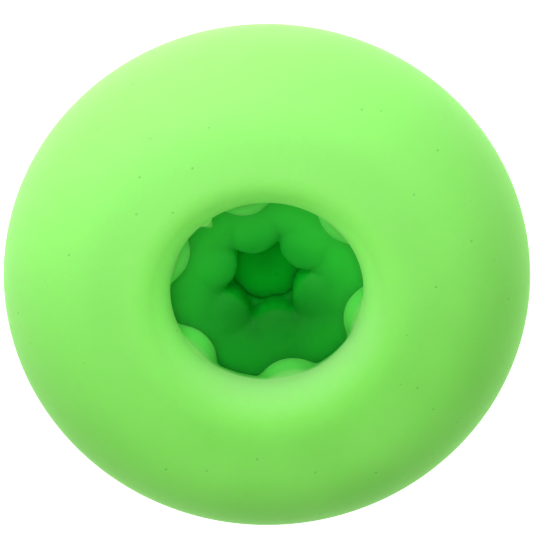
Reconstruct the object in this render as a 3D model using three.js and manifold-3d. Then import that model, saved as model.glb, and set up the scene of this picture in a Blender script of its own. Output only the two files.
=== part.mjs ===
// Racket vibration dampener: a soft round ring with a rolled lip and six nubs round a blind socket, a core
// with six lobes round a star-shaped hole that fills the socket, and a string clip snapped in from behind.
// Millimetres. +Z is the axis, towards the open mouth, and z = 0 is the flat underside of the string clip.
import * as THREE from "three";
import { mergeVertices } from "three/addons/utils/BufferGeometryUtils.js";
import Module from "manifold-3d";

// Driving dimensions
const RING_OUTER_R = 13.0; // outside radius of the whole dampener
const SECTION_R = 4.12; // radius of the ring's round section
const LIP_R = 2.21; // radius of the lip that rolls into the mouth
const MOUTH_R = 4.746; // narrowest radius of the lip
const FLAT_DEPTH = 0.2; // how far the ring's underside is cut flat
const CLIP_FLANGE_R = 8.5; // flange that stays behind the strings
const CLIP_FLANGE_H = 2.4;
const GROOVE_R = 0.8; // half-round groove for a racket string, which is about 1.3 thick
const GROOVE_NECK_R = 5.0; // radius left at the bottom of the groove
const LOBE_COUNT = 6;
const LOBE_R = 1.52; // radius of a lobe's round nose
const LOBE_CENTRE_R = 3.0; // radius of the circle on which the noses' centres lie
const LOBE_CROWN = 0.5; // height of a lobe's rounded back
const STAR_TIP_R = 2.1; // radius at which the star's blunt tips end, between the lobes
const NUB_R = 1.8; // radius of a nub, a half-round knob just under the lip
const NUB_CENTRE_R = 5.8; // radius of the circle on which the nubs' centres lie
const NUB_SIDE = 0.35; // height of a nub's upright side, below its dome
const SEAT_R = 6.2; // bore in the ring that holds the core and the clip
const BEAD = 0.45; // how far the clip's snap bead stands out into the ring
const BEAD_H = 0.6;
const GAP = 0.1; // left between pieces that touch

// Heights, from the driving dimensions
const RING_BASE_Z = CLIP_FLANGE_H + 2 * GROOVE_R;
const SECTION_Z = RING_BASE_Z + SECTION_R - FLAT_DEPTH; // centre of the ring's round section
const RING_TOP_Z = SECTION_Z + SECTION_R;
const THROAT_Z = RING_TOP_Z - LIP_R; // height of the lip's narrowest circle
const SECTION_CENTRE_R = RING_OUTER_R - SECTION_R;
const LIP_CENTRE_R = MOUTH_R + LIP_R;
const LIP_UNDERCUT = THREE.MathUtils.degToRad(30); // how far the lip's arc runs on past the throat
const SHOULDER_Z = THROAT_Z - LIP_R * Math.sin(LIP_UNDERCUT);
const FLOOR_Z = 6.5; // the clip's front face, which is the floor of the socket
const BEAD_Z = FLOOR_Z - 1.0; // underside of the snap bead
const CORE_BASE_Z = FLOOR_Z + GAP;
const CORE_SHOULDER_Z = SHOULDER_Z - GAP;
const LOBE_TOP_Z = 8.75;
const NUB_FOOT_Z = LOBE_TOP_Z + GAP;
const NUB_TOP_Z = THROAT_Z;
const VALLEY_INNER_Z = 8.2; // the valleys between the lobes run down to this height
const VALLEY_OUTER_Z = CORE_SHOULDER_Z - 0.05;

const TURN_STEPS = 48; // facets round a turned piece
const QUARTER = Math.PI / 2;

const wasm = await Module();
wasm.setup();

// Points of an arc in a turned piece's section, as (radius, height), from one angle to another.
function arc(centreR, centreZ, radius, from, to, steps) {
  return Array.from({ length: steps + 1 }, (_, i) => {
    const a = from + ((to - from) * i) / steps;
    return [centreR + radius * Math.cos(a), centreZ + radius * Math.sin(a)];
  });
}

// A turned solid from its section, given as (radius, height) points anticlockwise seen with +Z up.
function turned(section, steps = TURN_STEPS) {
  const points = section.map(([r, z]) => new THREE.Vector2(r, z));
  return new THREE.LatheGeometry(points, steps).rotateX(QUARTER);
}

// A section that closes on itself, for a piece with a hole through it.
function closed(section) {
  return [...section, section[0]];
}

function solidOf(geometry) {
  const bare = geometry.index ? geometry.toNonIndexed() : geometry.clone();
  bare.deleteAttribute("normal");
  bare.deleteAttribute("uv");
  const merged = mergeVertices(bare, 1e-4);
  return new wasm.Manifold(
    new wasm.Mesh({
      numProp: 3,
      vertProperties: merged.attributes.position.array,
      triVerts: new Uint32Array(merged.index.array),
    }),
  );
}

function geometryOf(solid) {
  const mesh = solid.getMesh();
  const geometry = new THREE.BufferGeometry();
  geometry.setAttribute("position", new THREE.BufferAttribute(mesh.vertProperties, 3));
  geometry.setIndex(new THREE.BufferAttribute(mesh.triVerts, 1));
  geometry.computeVertexNormals();
  return geometry;
}

// One nub: an upright knob with a low dome, which runs into the lip at the lip's narrowest circle.
function nub() {
  const domeZ = NUB_FOOT_Z + NUB_SIDE;
  const domeH = NUB_TOP_Z - domeZ;
  const dome = arc(0, 0, 1, 0, QUARTER, 5).map(([x, y]) => [NUB_R * x, domeZ + domeH * y]);
  const knob = turned([[0, NUB_FOOT_Z], [NUB_R, NUB_FOOT_Z], ...dome], 32);
  knob.translate(NUB_CENTRE_R, 0, 0);
  return solidOf(knob);
}

// The soft ring: a round section outside, a smaller round lip with six nubs inside, and a stepped bore.
function cushionRing() {
  const flatAngle = Math.asin((SECTION_Z - RING_BASE_Z) / SECTION_R);
  const seatAngle = Math.acos((SECTION_CENTRE_R - SEAT_R) / SECTION_R);
  const grooveR = SEAT_R + BEAD;
  const grooveLow = BEAD_Z - GAP;
  const grooveHigh = BEAD_Z + BEAD_H + GAP;
  const outside = arc(SECTION_CENTRE_R, SECTION_Z, SECTION_R, -flatAngle, QUARTER, 18);
  const lip = arc(LIP_CENTRE_R, THROAT_Z, LIP_R, QUARTER, Math.PI + LIP_UNDERCUT, 12);
  const bore = [
    [SEAT_R, SHOULDER_Z],
    [SEAT_R, grooveHigh],
    [grooveR, grooveHigh],
    [grooveR, grooveLow],
  ];
  const foot = arc(SECTION_CENTRE_R, SECTION_Z, SECTION_R, Math.PI + seatAngle, Math.PI + flatAngle, 4);
  let ring = solidOf(turned(closed([...outside, ...lip, ...bore, [SEAT_R, grooveLow], ...foot])));
  const oneNub = nub();
  for (let i = 0; i < LOBE_COUNT; i++) {
    ring = ring.add(oneNub.rotate([0, 0, (360 / LOBE_COUNT) * i]));
  }
  return geometryOf(ring);
}

// One lobe of the core: an upright post with a round nose towards the axis and a low rounded back.
function lobe() {
  const outerR = SEAT_R;
  const backZ = LOBE_TOP_Z - LOBE_CROWN;
  const outline = new THREE.Shape();
  outline.absarc(LOBE_CENTRE_R, 0, LOBE_R, QUARTER, 3 * QUARTER, false);
  outline.lineTo(outerR, -LOBE_R);
  outline.lineTo(outerR, LOBE_R);
  outline.closePath();
  const post = new THREE.ExtrudeGeometry(outline, {
    depth: backZ - CORE_BASE_Z, bevelEnabled: false, curveSegments: 14,
  });
  post.translate(0, 0, CORE_BASE_Z);
  const length = 2 * (outerR - LOBE_CENTRE_R);
  const back = new THREE.CapsuleGeometry(LOBE_R, length, 7, 28).rotateZ(QUARTER);
  back.scale(1, 1, LOBE_CROWN / LOBE_R);
  back.translate(outerR, 0, backZ);
  return solidOf(post).add(solidOf(back));
}

// The core: a sleeve with sloping valleys and six lobes, kept clear of the ring all over.
function starCore() {
  const coreR = SEAT_R - GAP;
  const valleyR = MOUTH_R + GAP;
  let core = solidOf(turned(closed([
    [STAR_TIP_R, CORE_BASE_Z],
    [coreR, CORE_BASE_Z],
    [coreR, CORE_SHOULDER_Z],
    [valleyR + GAP, CORE_SHOULDER_Z],
    [valleyR, VALLEY_OUTER_Z],
    [STAR_TIP_R, VALLEY_INNER_Z],
  ])));
  const oneLobe = lobe();
  for (let i = 0; i < LOBE_COUNT; i++) {
    core = core.add(oneLobe.rotate([0, 0, (360 / LOBE_COUNT) * i]));
  }
  const clearLip = LIP_R + GAP;
  const shoulderAngle = Math.asin((THROAT_Z - CORE_SHOULDER_Z) / clearLip);
  const throat = arc(LIP_CENTRE_R, THROAT_Z, clearLip, Math.PI + shoulderAngle, Math.PI, 6);
  const room = turned([
    [0, CORE_BASE_Z],
    [coreR, CORE_BASE_Z],
    [coreR, CORE_SHOULDER_Z],
    ...throat,
    [0, THROAT_Z],
  ]);
  return geometryOf(core.intersect(solidOf(room)));
}

// The string clip: a flange behind the strings, a half-round groove for them, and a plug with a snap bead.
function stringClip() {
  const edge = 0.9; // rounding of the flange's rim
  const plugR = SEAT_R - GAP;
  const beadR = plugR + BEAD;
  const grooveZ = CLIP_FLANGE_H + GROOVE_R;
  const grooveCentreR = GROOVE_NECK_R + GROOVE_R;
  const plugEdge = 0.3;
  return turned([
    [0, 0],
    ...arc(CLIP_FLANGE_R - edge, edge, edge, -QUARTER, 0, 5),
    ...arc(CLIP_FLANGE_R - edge, CLIP_FLANGE_H - edge, edge, 0, QUARTER, 5),
    ...arc(grooveCentreR, grooveZ, GROOVE_R, 3 * QUARTER, QUARTER, 8),
    [plugR, RING_BASE_Z + plugEdge],
    [plugR, BEAD_Z],
    [beadR, BEAD_Z],
    [beadR, BEAD_Z + BEAD_H / 2],
    [plugR, BEAD_Z + BEAD_H],
    [plugR, FLOOR_Z],
    [0, FLOOR_Z],
  ]);
}

function elastomer(colour) {
  return new THREE.MeshStandardMaterial({ color: colour, roughness: 0.5, metalness: 0 });
}

function named(name, geometry, material) {
  const mesh = new THREE.Mesh(geometry, material);
  mesh.name = name;
  return mesh;
}

const dampener = new THREE.Group();
dampener.add(
  named("cushion_ring", cushionRing(), elastomer(0x90e06c)),
  named("star_core", starCore(), elastomer(0x29a52f)),
  named("string_clip", stringClip(), elastomer(0x0c9c20)),
);

export default dampener;
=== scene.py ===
import math
import bmesh
import bpy
from mathutils import Matrix, Vector


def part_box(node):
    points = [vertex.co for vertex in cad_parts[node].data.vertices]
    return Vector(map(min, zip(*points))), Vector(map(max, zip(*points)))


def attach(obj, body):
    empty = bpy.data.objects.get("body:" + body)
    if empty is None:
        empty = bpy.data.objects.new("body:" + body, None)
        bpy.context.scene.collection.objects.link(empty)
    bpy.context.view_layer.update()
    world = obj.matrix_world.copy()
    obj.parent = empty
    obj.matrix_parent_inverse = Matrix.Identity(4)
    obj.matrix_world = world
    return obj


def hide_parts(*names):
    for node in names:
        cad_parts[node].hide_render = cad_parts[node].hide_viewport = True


# Racket vibration dampener in soft moulded silicone: ring, lobed core and string clip.
# Pieces are modelled in millimetres and brought down to metres when they are finished.

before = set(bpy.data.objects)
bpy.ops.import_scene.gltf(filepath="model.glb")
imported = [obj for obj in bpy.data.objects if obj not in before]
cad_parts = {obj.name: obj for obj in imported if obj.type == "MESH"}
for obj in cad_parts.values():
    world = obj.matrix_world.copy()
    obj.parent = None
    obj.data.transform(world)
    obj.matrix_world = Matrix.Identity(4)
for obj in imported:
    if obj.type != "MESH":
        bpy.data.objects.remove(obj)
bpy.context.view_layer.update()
print("frame loaded:", ", ".join(sorted(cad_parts)))

sameSpot = 0.0001  # mm: places nearer than this are one
slack = 0.01  # mm: room left when vertices are picked by their place
mergeWithin = 0.001  # mm
vertexGap = 0.3  # mm between the vertices of a rounding


def boxMm(node):
    low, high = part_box(node)
    return low * 1000, high * 1000


def toLinear(hexColour):
    channels = [int(hexColour[i:i + 2], 16) / 255 for i in (1, 3, 5)]
    linear = [c / 12.92 if c <= 0.04045 else ((c + 0.055) / 1.055) ** 2.4 for c in channels]
    return (*linear, 1.0)


def direction(azimuth, elevation):
    a, e = math.radians(azimuth), math.radians(elevation)
    return Vector((math.cos(a) * math.cos(e), math.sin(a) * math.cos(e), math.sin(e)))


def deselectAll():
    if bpy.context.object and bpy.context.object.mode != "OBJECT":
        bpy.ops.object.mode_set(mode="OBJECT")
    bpy.ops.object.select_all(action="DESELECT")


def workOn(piece):
    deselectAll()
    piece.select_set(True)
    bpy.context.view_layer.objects.active = piece


def selectWhere(piece, test):
    # picks vertices by their place, while the piece is in edit mode
    bpy.ops.mesh.select_mode(type="VERT")
    bpy.ops.mesh.select_all(action="DESELECT")
    cage = bmesh.from_edit_mesh(piece.data)
    for vertex in cage.verts:
        if test(vertex.co):
            vertex.select_set(True)
    cage.select_flush(True)
    bmesh.update_edit_mesh(piece.data)


def drawOutline(name, corners):
    # half a section in the XZ plane, one extrusion for each (radius, height, rounding) corner
    deselectAll()
    bpy.ops.mesh.primitive_plane_add(size=1)
    piece = bpy.context.object
    piece.name = piece.data.name = name
    bpy.ops.object.mode_set(mode="EDIT")
    bpy.ops.mesh.merge(type="CENTER")
    bpy.ops.transform.translate(value=(corners[0][0], 0, corners[0][1]))
    for (r, z, _), (nextR, nextZ, _) in zip(corners, corners[1:]):
        bpy.ops.mesh.extrude_region_move(TRANSFORM_OT_translate={"value": (nextR - r, 0, nextZ - z)})
    ends = [Vector((r, 0, z)) for r, z, _ in (corners[0], corners[-1])]
    selectWhere(piece, lambda co: min((co - end).length for end in ends) < sameSpot)
    bpy.ops.mesh.edge_face_add()
    bpy.ops.mesh.select_all(action="SELECT")
    bpy.ops.mesh.edge_face_add()
    for i, (r, z, rounding) in enumerate(corners):
        if rounding:
            before = Vector(corners[i - 1][:2]) - Vector((r, z))
            after = Vector(corners[(i + 1) % len(corners)][:2]) - Vector((r, z))
            turn = math.pi - before.angle(after)
            selectWhere(piece, lambda co: (co - Vector((r, 0, z))).length < sameSpot)
            steps = max(2, round(rounding * turn / vertexGap))
            bpy.ops.mesh.bevel(
                offset=rounding * math.tan(turn / 2), segments=steps, affect="VERTICES", clamp_overlap=False
            )
    bpy.ops.mesh.select_all(action="SELECT")
    bpy.ops.mesh.delete(type="ONLY_FACE")
    return piece


def spin(degrees, steps, copies=False):
    # a positive angle turns clockwise seen from above, so it is negated
    bpy.ops.mesh.select_all(action="SELECT")
    bpy.ops.mesh.spin(
        steps=steps, dupli=copies, angle=-math.radians(degrees),
        use_auto_merge=False, center=(0, 0, 0), axis=(0, 0, 1),
    )
    bpy.ops.mesh.select_all(action="SELECT")
    bpy.ops.mesh.remove_doubles(threshold=mergeWithin)


def applyModifier(piece, kind, **settings):
    workOn(piece)
    modifier = piece.modifiers.new(kind.lower(), kind)
    for key, value in settings.items():
        setattr(modifier, key, value)
    bpy.ops.object.modifier_apply(modifier=modifier.name)


def finishPiece(piece, sharpAngle, node, material):
    workOn(piece)
    bpy.ops.object.mode_set(mode="EDIT")
    bpy.ops.mesh.select_all(action="SELECT")
    bpy.ops.mesh.normals_make_consistent(inside=False)
    bpy.ops.object.mode_set(mode="OBJECT")
    piece.scale = (0.001, 0.001, 0.001)
    bpy.ops.object.transform_apply(location=True, rotation=True, scale=True)
    bpy.ops.object.shade_smooth_by_angle(angle=math.radians(sharpAngle))
    piece.data.materials.clear()
    piece.data.materials.append(material)
    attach(piece, "root")
    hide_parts(node)
    print(piece.name, "finished with", len(piece.data.polygons), "faces")


def addNode(tree, kind, settings=None, links=None):
    node = tree.nodes.new(kind)
    for key, value in (settings or {}).items():
        if isinstance(key, int) or key in node.inputs:
            node.inputs[key].default_value = value
        else:
            setattr(node, key, value)
    for key, source in (links or {}).items():
        tree.links.new(source, node.inputs[key])
    return node


def siliconeRubber(name, look):
    # Moulded silicone rubber, satin from a fine-blasted mould: light soaks in and spreads some
    # millimetres, so there are no hard highlights. The pigment is slightly cloudy, and the skin has a
    # fine blasted grain with a few dust specks. Painted light and shade are laid over the body colour too.
    material = bpy.data.materials.new(name)
    material.use_nodes = True
    tree = material.node_tree
    shader = tree.nodes["Principled BSDF"]
    coordinates = addNode(tree, "ShaderNodeTexCoord").outputs["Object"]
    heights = addNode(tree, "ShaderNodeSeparateXYZ", None, {"Vector": coordinates})
    flat = addNode(tree, "ShaderNodeVectorMath", {"operation": "MULTIPLY", 1: (1, 1, 0)}, {0: coordinates})
    axisDistances = addNode(
        tree, "ShaderNodeVectorMath", {"operation": "LENGTH"}, {0: flat.outputs["Vector"]}
    )
    sides = addNode(
        tree, "ShaderNodeVectorMath", {"operation": "DOT_PRODUCT", 1: direction(look["shadedSide"], 0)},
        {0: coordinates},
    )
    measures = {
        "height": heights.outputs["Z"],
        "axis": axisDistances.outputs["Value"],
        "side": sides.outputs["Value"],
    }

    clouds = addNode(
        tree, "ShaderNodeTexNoise",
        {"Scale": 1000 / look["cloudMm"], "Detail": 2.0, "Roughness": 0.5}, {"Vector": coordinates},
    )
    # the speck at the middle of a cell shows only where that lies at the skin, so they are few
    cells = addNode(
        tree, "ShaderNodeTexVoronoi", {"Scale": 1000 / look["speckSpacingMm"]}, {"Vector": coordinates}
    )
    away = addNode(
        tree, "ShaderNodeMath", {"operation": "MULTIPLY", 1: look["speckSpacingMm"] / 1000},
        {0: cells.outputs["Distance"]},
    )

    # a layer is a colour and the spans that bring it in: from nothing at the first value of a
    # measure to its most at the second
    layers = [(look["cloud"], [(clouds.outputs["Fac"], *look["cloudRange"], 1.0)])]
    # each of these layers is painted light or shade, by height, distance from the axis and side
    for paintedPatch in look["paintedLightAndShade"]:
        spans = [
            (measures[measure], paintedPatch[measure][0] / 1000, paintedPatch[measure][1] / 1000, 1.0)
            for measure in sorted(measures.keys() & paintedPatch.keys())
        ]
        layers.append((paintedPatch["colour"], spans))
    speckR = look["speckMm"] / 1000
    layers.append((look["speck"], [(away.outputs["Value"], speckR, speckR / 3, look["speckStrength"])]))

    colour = None
    for layerColour, spans in layers:
        factor = None
        for source, first, second, most in spans:
            part = addNode(
                tree, "ShaderNodeMapRange",
                {"From Min": first, "From Max": second, "To Max": most}, {"Value": source},
            ).outputs["Result"]
            if factor:
                both = addNode(tree, "ShaderNodeMath", {"operation": "MULTIPLY"}, {0: factor, 1: part})
                part = both.outputs["Value"]
            factor = part
        mix = addNode(
            tree, "ShaderNodeMix",
            {"data_type": "RGBA", 6: toLinear(look["body"]), 7: toLinear(layerColour)}, {"Factor": factor},
        )
        if colour:
            tree.links.new(colour, mix.inputs[6])
        colour = mix.outputs[2]

    grain = addNode(
        tree, "ShaderNodeTexNoise",
        {"Scale": 1000 / look["grainMm"], "Detail": 3.0, "Roughness": 0.6}, {"Vector": coordinates},
    )
    bump = addNode(
        tree, "ShaderNodeBump",
        {"Strength": look["grainStrength"], "Distance": look["grainDepthMm"] / 1000},
        {"Height": grain.outputs["Fac"]},
    )

    tree.links.new(colour, shader.inputs["Base Color"])
    tree.links.new(bump.outputs["Normal"], shader.inputs["Normal"])
    shader.inputs["Roughness"].default_value = look["roughness"]
    shader.inputs["IOR"].default_value = look["ior"]
    shader.inputs["Specular IOR Level"].default_value = look["specular"]
    shader.inputs["Subsurface Weight"].default_value = 1.0
    shader.inputs["Subsurface Radius"].default_value = look["lightReachMm"]
    shader.inputs["Subsurface Scale"].default_value = 0.001  # the reach is in millimetres
    return material


skin = {
    "roughness": 0.6,
    "ior": 1.41,
    "lightReachMm": (2.6, 4.0, 1.9),  # red, green and blue
    "cloudMm": 5.0,
    "cloudRange": (0.35, 0.65),
    "grainMm": 0.22,  # the real blasting is about 0.05 mm, too fine to show
    "grainDepthMm": 0.02,
    "grainStrength": 0.5,
    "speckSpacingMm": 1.1,
    "speckMm": 0.08,  # radius
    "speckStrength": 0.5,
    "shadedSide": 306,  # degrees from +X
}
# A painted patch's measures are in millimetres: height, distance from the axis, and way towards the shaded
# side.
# Each patch is painted light or shade; those with a side follow the side that faces the lamp, in place of
# light spreading through the silicone.
ringMaterial = siliconeRubber("limeSilicone", {
    **skin, "body": "#7ED05A", "cloud": "#79CB55", "speck": "#4E8446", "specular": 0.2,
    "paintedLightAndShade": [
        # painted light: whiter towards the lit side, brighter near the mouth there, and the mouth's edge
        # paler on the shaded side, where it faces the lamp
        {"colour": "#88D46A", "side": (6, -9)},
        {"colour": "#7CD858", "axis": (7.0, 5.6), "side": (3, -3)},
        {"colour": "#8ED276", "axis": (6.2, 4.9), "side": (-1, 4)},
        # painted light: the thin lip is lighter on the lit side
        {"colour": "#8CF46C", "axis": (5.7, 4.9), "height": (9.7, 9.95), "side": (4, -2)},
        {"colour": "#5CD044", "axis": (4.72, 4.55), "height": (9.7, 9.8)},  # painted shade: the flash is a deeper green
        # painted shade: under the lip and on the nubs a deeper green; painted light: the nubs on the lit
        # side brighter
        {"colour": "#44BA3C", "axis": (5.4, 5.2), "height": (9.9, 9.6)},
        {"colour": "#5CFC52", "axis": (5.4, 5.2), "height": (9.9, 9.6), "side": (4, -3)},
    ],
})
coreMaterial = siliconeRubber("greenSilicone", {
    **skin, "shadedSide": 292, "body": "#36CE3C", "cloud": "#32C838", "speck": "#0C6C1C", "specular": 0.1,
    "paintedLightAndShade": [
        # painted shade: darker towards the shaded side and towards the axis, most where both meet
        {"colour": "#0E901C", "side": (-4.5, 4.5)},
        {"colour": "#129022", "axis": (4.2, 1.8)},
        {"colour": "#067014", "axis": (4.6, 1.9), "side": (-0.6, 1.8)},
        # painted shade: darker and a deeper green down the socket, since only the green gets back out, a
        # little less dark away from the lobes' noses; painted light: lighter there on the lit side
        {"colour": "#007E12", "height": (8.4, 7.9)},
        {"colour": "#008A16", "height": (8.4, 7.9), "axis": (1.5, 1.8)},
        {"colour": "#00BC24", "height": (8.4, 7.9), "side": (1.2, -1.0)},
    ],
})
clipMaterial = siliconeRubber("greenSiliconeFirm", {
    **skin, "body": "#009A16", "cloud": "#009614", "speck": "#006C10", "specular": 0.05,
    "paintedLightAndShade": [
        # painted light: the front face lighter away from the axis and on the lit side
        {"colour": "#00BC1E", "height": (6.2, 6.4), "axis": (0.3, 1.3), "side": (1.3, -0.5)},
    ],
})
print("materials made")


ring = {
    "sectionR": 4.12,  # round outside
    "lipR": 2.21,  # round lip that rolls into the mouth
    "mouthR": 4.746,
    "seatR": 6.2,
    "lipSweep": 30,  # degrees that the lip runs on below its narrowest circle
    "shoulderRounding": 0.15,
    "bead": 0.45,
    "beadFromZ": 5.4,
    "beadToZ": 6.2,
    "footRounding": 1.2,
    "nubR": 1.8,
    "nubCentreR": 5.8,
    "nubFootZ": 8.85,
    "nubSide": 0.35,
    "nubs": 6,
    "proudNub": {"azimuth": 120, "halfWidth": 22, "reach": 0.94, "below": 0.1},  # it stands further in
    "columns": 24,  # to each sixth of the ring
    # a torn bit left on the lip, from just below the throat to above it
    "flash": {"azimuth": 146.5, "halfWidth": 3.4, "reach": 0.95, "below": 0.1, "above": 0.45},
    "sharpAngle": 40,
}


def makeRing():
    low, high = boxMm("cushion_ring")
    outerR, baseZ, topZ = high.x, low.z, high.z
    throatZ = topZ - ring["lipR"]
    sweep = math.radians(ring["lipSweep"])
    shoulderR = ring["mouthR"] + ring["lipR"] * (1 - math.cos(sweep))
    shoulderZ = throatZ - ring["lipR"] * math.sin(sweep)
    turnZ = throatZ - ring["lipR"] * math.tan(sweep / 2)
    grooveR = ring["seatR"] + ring["bead"]
    piece = drawOutline("cushionRing", [
        (outerR, topZ, ring["sectionR"]),
        (outerR, baseZ, topZ - baseZ - ring["sectionR"]),
        (ring["seatR"], baseZ, ring["footRounding"]),
        (ring["seatR"], ring["beadFromZ"], 0),
        (grooveR, ring["beadFromZ"], 0),
        (grooveR, ring["beadToZ"], 0),
        (ring["seatR"], ring["beadToZ"], 0),
        (ring["seatR"], shoulderZ, ring["shoulderRounding"]),
        (shoulderR, shoulderZ, 0),
        (ring["mouthR"], turnZ, ring["lipR"]),
        (ring["mouthR"], topZ, ring["lipR"]),
    ])
    sector = 360 / ring["nubs"]
    spin(sector, ring["columns"])
    shapeNub(piece, throatZ, shoulderR, sector / 2)
    spin(360 - sector, ring["nubs"] - 1, copies=True)
    bpy.ops.transform.rotate(value=math.radians(sector / 2), orient_axis="Z", center_override=(0, 0, 0))
    proud = ring["proudNub"]
    pullIn(piece, proud, ring["nubFootZ"] - proud["below"], throatZ, ring["mouthR"])
    # the flash is drawn in twice, the second time over half the width, so that its end is blunt
    flash = ring["flash"]
    for width in (flash["halfWidth"], flash["halfWidth"] / 2):
        spot = {**flash, "halfWidth": width}
        pullIn(piece, spot, throatZ - flash["below"], throatZ + flash["above"], shoulderR)
    bpy.ops.object.mode_set(mode="OBJECT")
    applyModifier(piece, "SUBSURF", levels=1, render_levels=1)
    finishPiece(piece, ring["sharpAngle"], "cushion_ring", ringMaterial)


def pullIn(piece, spot, fromZ, toZ, withinR):
    def onSpot(co):
        away = abs(math.degrees(math.atan2(co.y, co.x)) - spot["azimuth"])
        return away < spot["halfWidth"] and fromZ < co.z < toZ and co.xy.length < withinR - slack

    selectWhere(piece, onSpot)
    bpy.ops.transform.resize(value=(spot["reach"], spot["reach"], 1), center_override=(0, 0, 0))


def shapeNub(piece, throatZ, shoulderR, middle):
    # pulls the lip's underside in to a half-round knob with a low dome, a pair of columns at a time
    rowSlack, sameRow, sameColumn = 0.05, 0.001, 0.1  # mm, mm and degrees
    domeZ = ring["nubFootZ"] + ring["nubSide"]
    rows = sorted({
        round(v.co.z, 4) for v in bmesh.from_edit_mesh(piece.data).verts
        if ring["nubFootZ"] - rowSlack < v.co.z < throatZ - rowSlack and v.co.xy.length < shoulderR
    })
    column = 360 / ring["nubs"] / ring["columns"]
    for step in range(ring["columns"] // 2):
        side = ring["nubCentreR"] * math.sin(math.radians(step * column))
        for z in rows:
            rise = max(0, z - domeZ) / (throatZ - domeZ)
            plan = ring["nubR"] * math.sqrt(max(0, 1 - rise ** 2))
            if side >= plan:
                continue
            middleR = ring["nubCentreR"] * math.cos(math.radians(step * column))
            reach = middleR - math.sqrt(plan ** 2 - side ** 2)
            lipR = ring["mouthR"] + ring["lipR"] - math.sqrt(ring["lipR"] ** 2 - (throatZ - z) ** 2)
            if reach >= lipR:
                continue

            def inPair(co):
                away = abs(math.degrees(math.atan2(co.y, co.x)) - middle)
                inRow = abs(co.z - z) < sameRow and co.xy.length < shoulderR
                return inRow and abs(away - step * column) < sameColumn

            selectWhere(piece, inPair)
            bpy.ops.transform.resize(value=(reach / lipR, reach / lipR, 1), center_override=(0, 0, 0))


makeRing()


core = {
    "lobes": 6,
    "lobeR": 1.5,
    "lobeCentreR": 3.0,
    "lobeShift": (-0.04, -0.16),  # the moulded lobes sit a little off the axis
    "lobeTopZ": 8.72,
    "crown": 0.5,  # height of a lobe's rounded back
    "sleeveR": 1.75,
    "valley": [
        (1.75, 6.9, 0.2), (2.06, 7.0, 0.2), (2.12, 8.2, 0.2),
        (2.6, 8.5, 0.5), (3.3, 8.66, 1.0), (4.9, 8.7, 0.3),
    ],
    "seating": 0.4,  # the foot goes on into the clip, so that its rounded edge doesn't show
    "stretch": 1.5,  # how far a lobe is drawn out away from the axis
    "shoulderZ": 8.625,
    "edge": 0.2,
    "turnSteps": 96,
    "voxel": 0.07,
    "softening": 14,
    "softAboveZ": 6.35,  # below this the foot keeps its size
    "sharpAngle": 60,
}


def makeCore():
    low, high = boxMm("star_core")
    baseZ, coreR = low.z - core["seating"], high.x
    sleeve = drawOutline("starCore", [
        (core["sleeveR"], baseZ, 0),
        (coreR, baseZ, core["edge"]),
        (coreR, core["shoulderZ"], core["edge"]),
        *reversed(core["valley"]),
    ])
    spin(360, core["turnSteps"])
    lobes = [makeLobe(baseZ)]
    for i in range(1, core["lobes"]):
        workOn(lobes[0])
        bpy.ops.object.duplicate()
        copy = bpy.context.object
        copy.rotation_euler.z = math.radians(360 / core["lobes"] * i)
        lobes.append(copy)
    for lobe in lobes:
        lobe.location.x, lobe.location.y = core["lobeShift"]
    deselectAll()
    for piece in (*lobes, sleeve):
        piece.select_set(True)
    bpy.context.view_layer.objects.active = sleeve
    bpy.ops.object.join()
    applyModifier(sleeve, "REMESH", mode="VOXEL", voxel_size=core["voxel"])
    bpy.ops.object.vertex_group_add()
    bpy.ops.object.mode_set(mode="EDIT")
    selectWhere(sleeve, lambda co: co.z > core["softAboveZ"])
    bpy.ops.object.vertex_group_assign()
    bpy.ops.object.mode_set(mode="OBJECT")
    applyModifier(
        sleeve, "SMOOTH", factor=0.5, iterations=core["softening"], vertex_group=sleeve.vertex_groups[0].name
    )
    finishPiece(sleeve, core["sharpAngle"], "star_core", coreMaterial)


def makeLobe(baseZ):
    # a flattened half ball on an upright post, drawn out away from the axis
    backZ = core["lobeTopZ"] - core["crown"]
    deselectAll()
    bpy.ops.mesh.primitive_uv_sphere_add(segments=48, ring_count=24, radius=core["lobeR"])
    piece = bpy.context.object
    bpy.ops.object.mode_set(mode="EDIT")
    selectWhere(piece, lambda co: co.z < -slack)
    bpy.ops.mesh.delete(type="VERT")
    bpy.ops.mesh.select_all(action="SELECT")
    bpy.ops.transform.resize(value=(1, 1, core["crown"] / core["lobeR"]), center_override=(0, 0, 0))
    selectWhere(piece, lambda co: co.z < slack)
    bpy.ops.mesh.extrude_region_move(TRANSFORM_OT_translate={"value": (0, 0, baseZ - backZ)})
    bpy.ops.mesh.edge_face_add()
    selectWhere(piece, lambda co: co.x > slack)
    bpy.ops.transform.translate(value=(core["stretch"], 0, 0))
    bpy.ops.mesh.select_all(action="SELECT")
    bpy.ops.transform.translate(value=(core["lobeCentreR"], 0, backZ))
    bpy.ops.object.mode_set(mode="OBJECT")
    return piece


makeCore()


clip = {
    "plugR": 6.1,
    "bead": 0.45,
    "beadZ": 5.5,
    "beadH": 0.6,
    "flangeH": 2.4,
    "grooveR": 0.8,
    "neckR": 5.0,
    "rimRounding": 0.9,
    "edge": 0.2,
    "fineEdge": 0.1,
    "turnSteps": 144,
    "sharpAngle": 40,
    "witness": {"r": 6.6, "width": 0.3, "depth": 0.08},  # where the mould's ejector ring stood
}


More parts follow.
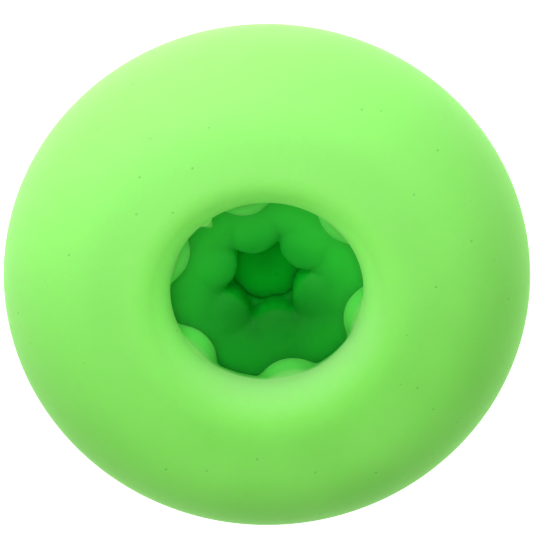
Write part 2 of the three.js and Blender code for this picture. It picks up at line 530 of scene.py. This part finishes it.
def makeClip():
    low, high = boxMm("string_clip")
    flangeR, baseZ, floorZ = high.x, low.z, high.z
    grooveTopZ = baseZ + clip["flangeH"] + 2 * clip["grooveR"]
    grooveRounding = clip["grooveR"] * 0.999  # just under half of the groove, so that the two meet
    beadR = clip["plugR"] + clip["bead"]
    fine = clip["fineEdge"]
    witness = clip["witness"]
    piece = drawOutline("stringClip", [
        (0, baseZ, 0),
        (witness["r"] - witness["width"] / 2, baseZ, fine),
        (witness["r"], baseZ + witness["depth"], fine),
        (witness["r"] + witness["width"] / 2, baseZ, fine),
        (flangeR, baseZ, clip["rimRounding"]),
        (flangeR, baseZ + clip["flangeH"], clip["rimRounding"]),
        (clip["neckR"], baseZ + clip["flangeH"], grooveRounding),
        (clip["neckR"], grooveTopZ, grooveRounding),
        (clip["plugR"], grooveTopZ, clip["edge"]),
        (clip["plugR"], clip["beadZ"], fine),
        (beadR, clip["beadZ"], fine),
        (beadR, clip["beadZ"] + clip["beadH"] / 2, fine),
        (clip["plugR"], clip["beadZ"] + clip["beadH"], fine),
        (clip["plugR"], floorZ, clip["edge"]),
        (0, floorZ, 0),
    ])
    # the edge along the axis goes, because the turned piece has none there
    selectWhere(piece, lambda co: co.x < sameSpot)
    bpy.ops.mesh.select_mode(type="EDGE")
    bpy.ops.mesh.delete(type="EDGE")
    spin(360, clip["turnSteps"])
    finishPiece(piece, clip["sharpAngle"], "string_clip", clipMaterial)


makeClip()


studio = {
    "worldStrength": 0.56,
    "keyPower": 0.038,  # watts: the lamp is only 65 mm away
    "keySize": 0.05,
    "keyDistance": 0.065,
    "keyAzimuth": 128,
    "keyElevation": 54,
    "floorSize": 2.0,
    "floorColour": "#FCFCFC",
    "floorRoughness": 0.9,
    "floorGlow": 0.68,
    "floorGap": 0.0001,  # the floor stands clear of the clip's flat underside
}


def makeStudio():
    deselectAll()
    bpy.ops.mesh.primitive_plane_add(size=studio["floorSize"], location=(0, 0, -studio["floorGap"]))
    floor = bpy.context.object
    floor.name = "floor"
    material = bpy.data.materials.new("lightTable")
    material.use_nodes = True
    shader = material.node_tree.nodes["Principled BSDF"]
    shader.inputs["Base Color"].default_value = toLinear(studio["floorColour"])
    shader.inputs["Roughness"].default_value = studio["floorRoughness"]
    shader.inputs["Emission Color"].default_value = (1, 1, 1, 1)
    shader.inputs["Emission Strength"].default_value = studio["floorGlow"]
    floor.data.materials.append(material)

    world = bpy.data.worlds.new("softBox")
    world.use_nodes = True
    background = world.node_tree.nodes["Background"]
    background.inputs["Color"].default_value = (1, 1, 1, 1)
    background.inputs["Strength"].default_value = studio["worldStrength"]
    bpy.context.scene.world = world

    towards = direction(studio["keyAzimuth"], studio["keyElevation"])
    bpy.ops.object.light_add(type="AREA", location=towards * studio["keyDistance"])
    key = bpy.context.object
    key.name = "key"
    key.data.shape = "DISK"
    key.data.size = studio["keySize"]
    key.data.energy = studio["keyPower"]
    key.rotation_euler = towards.to_track_quat("Z", "Y").to_euler()


view = {
    "azimuth": 107.3,  # of the side that the camera leans to, from +X towards +Y
    "elevation": 68.5,
    "distance": 0.6,
    "frameWidth": 0.02639,  # what the picture is wide, at the ring
    "right": 0.00003,
    "up": 0.0004,
    "sensorMm": 36,
    "clipStart": 0.01,
}


def makeCamera():
    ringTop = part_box("cushion_ring")[1].z
    back = direction(view["azimuth"], view["elevation"])
    right = direction(view["azimuth"] - 90, 0)
    up = back.cross(right)
    target = Vector((0, 0, ringTop - ring["sectionR"] / 1000)) + right * view["right"] + up * view["up"]
    data = bpy.data.cameras.new("camera")
    data.sensor_width = view["sensorMm"]
    data.lens = view["sensorMm"] * view["distance"] / view["frameWidth"]
    data.clip_start = view["clipStart"]
    camera = bpy.data.objects.new("camera", data)
    bpy.context.scene.collection.objects.link(camera)
    turn = Matrix((right, up, back)).transposed().to_4x4()
    camera.matrix_world = Matrix.Translation(target + back * view["distance"]) @ turn
    bpy.context.scene.camera = camera


makeStudio()
makeCamera()
bpy.context.scene.view_settings.view_transform = "Standard"
print("studio and camera made")
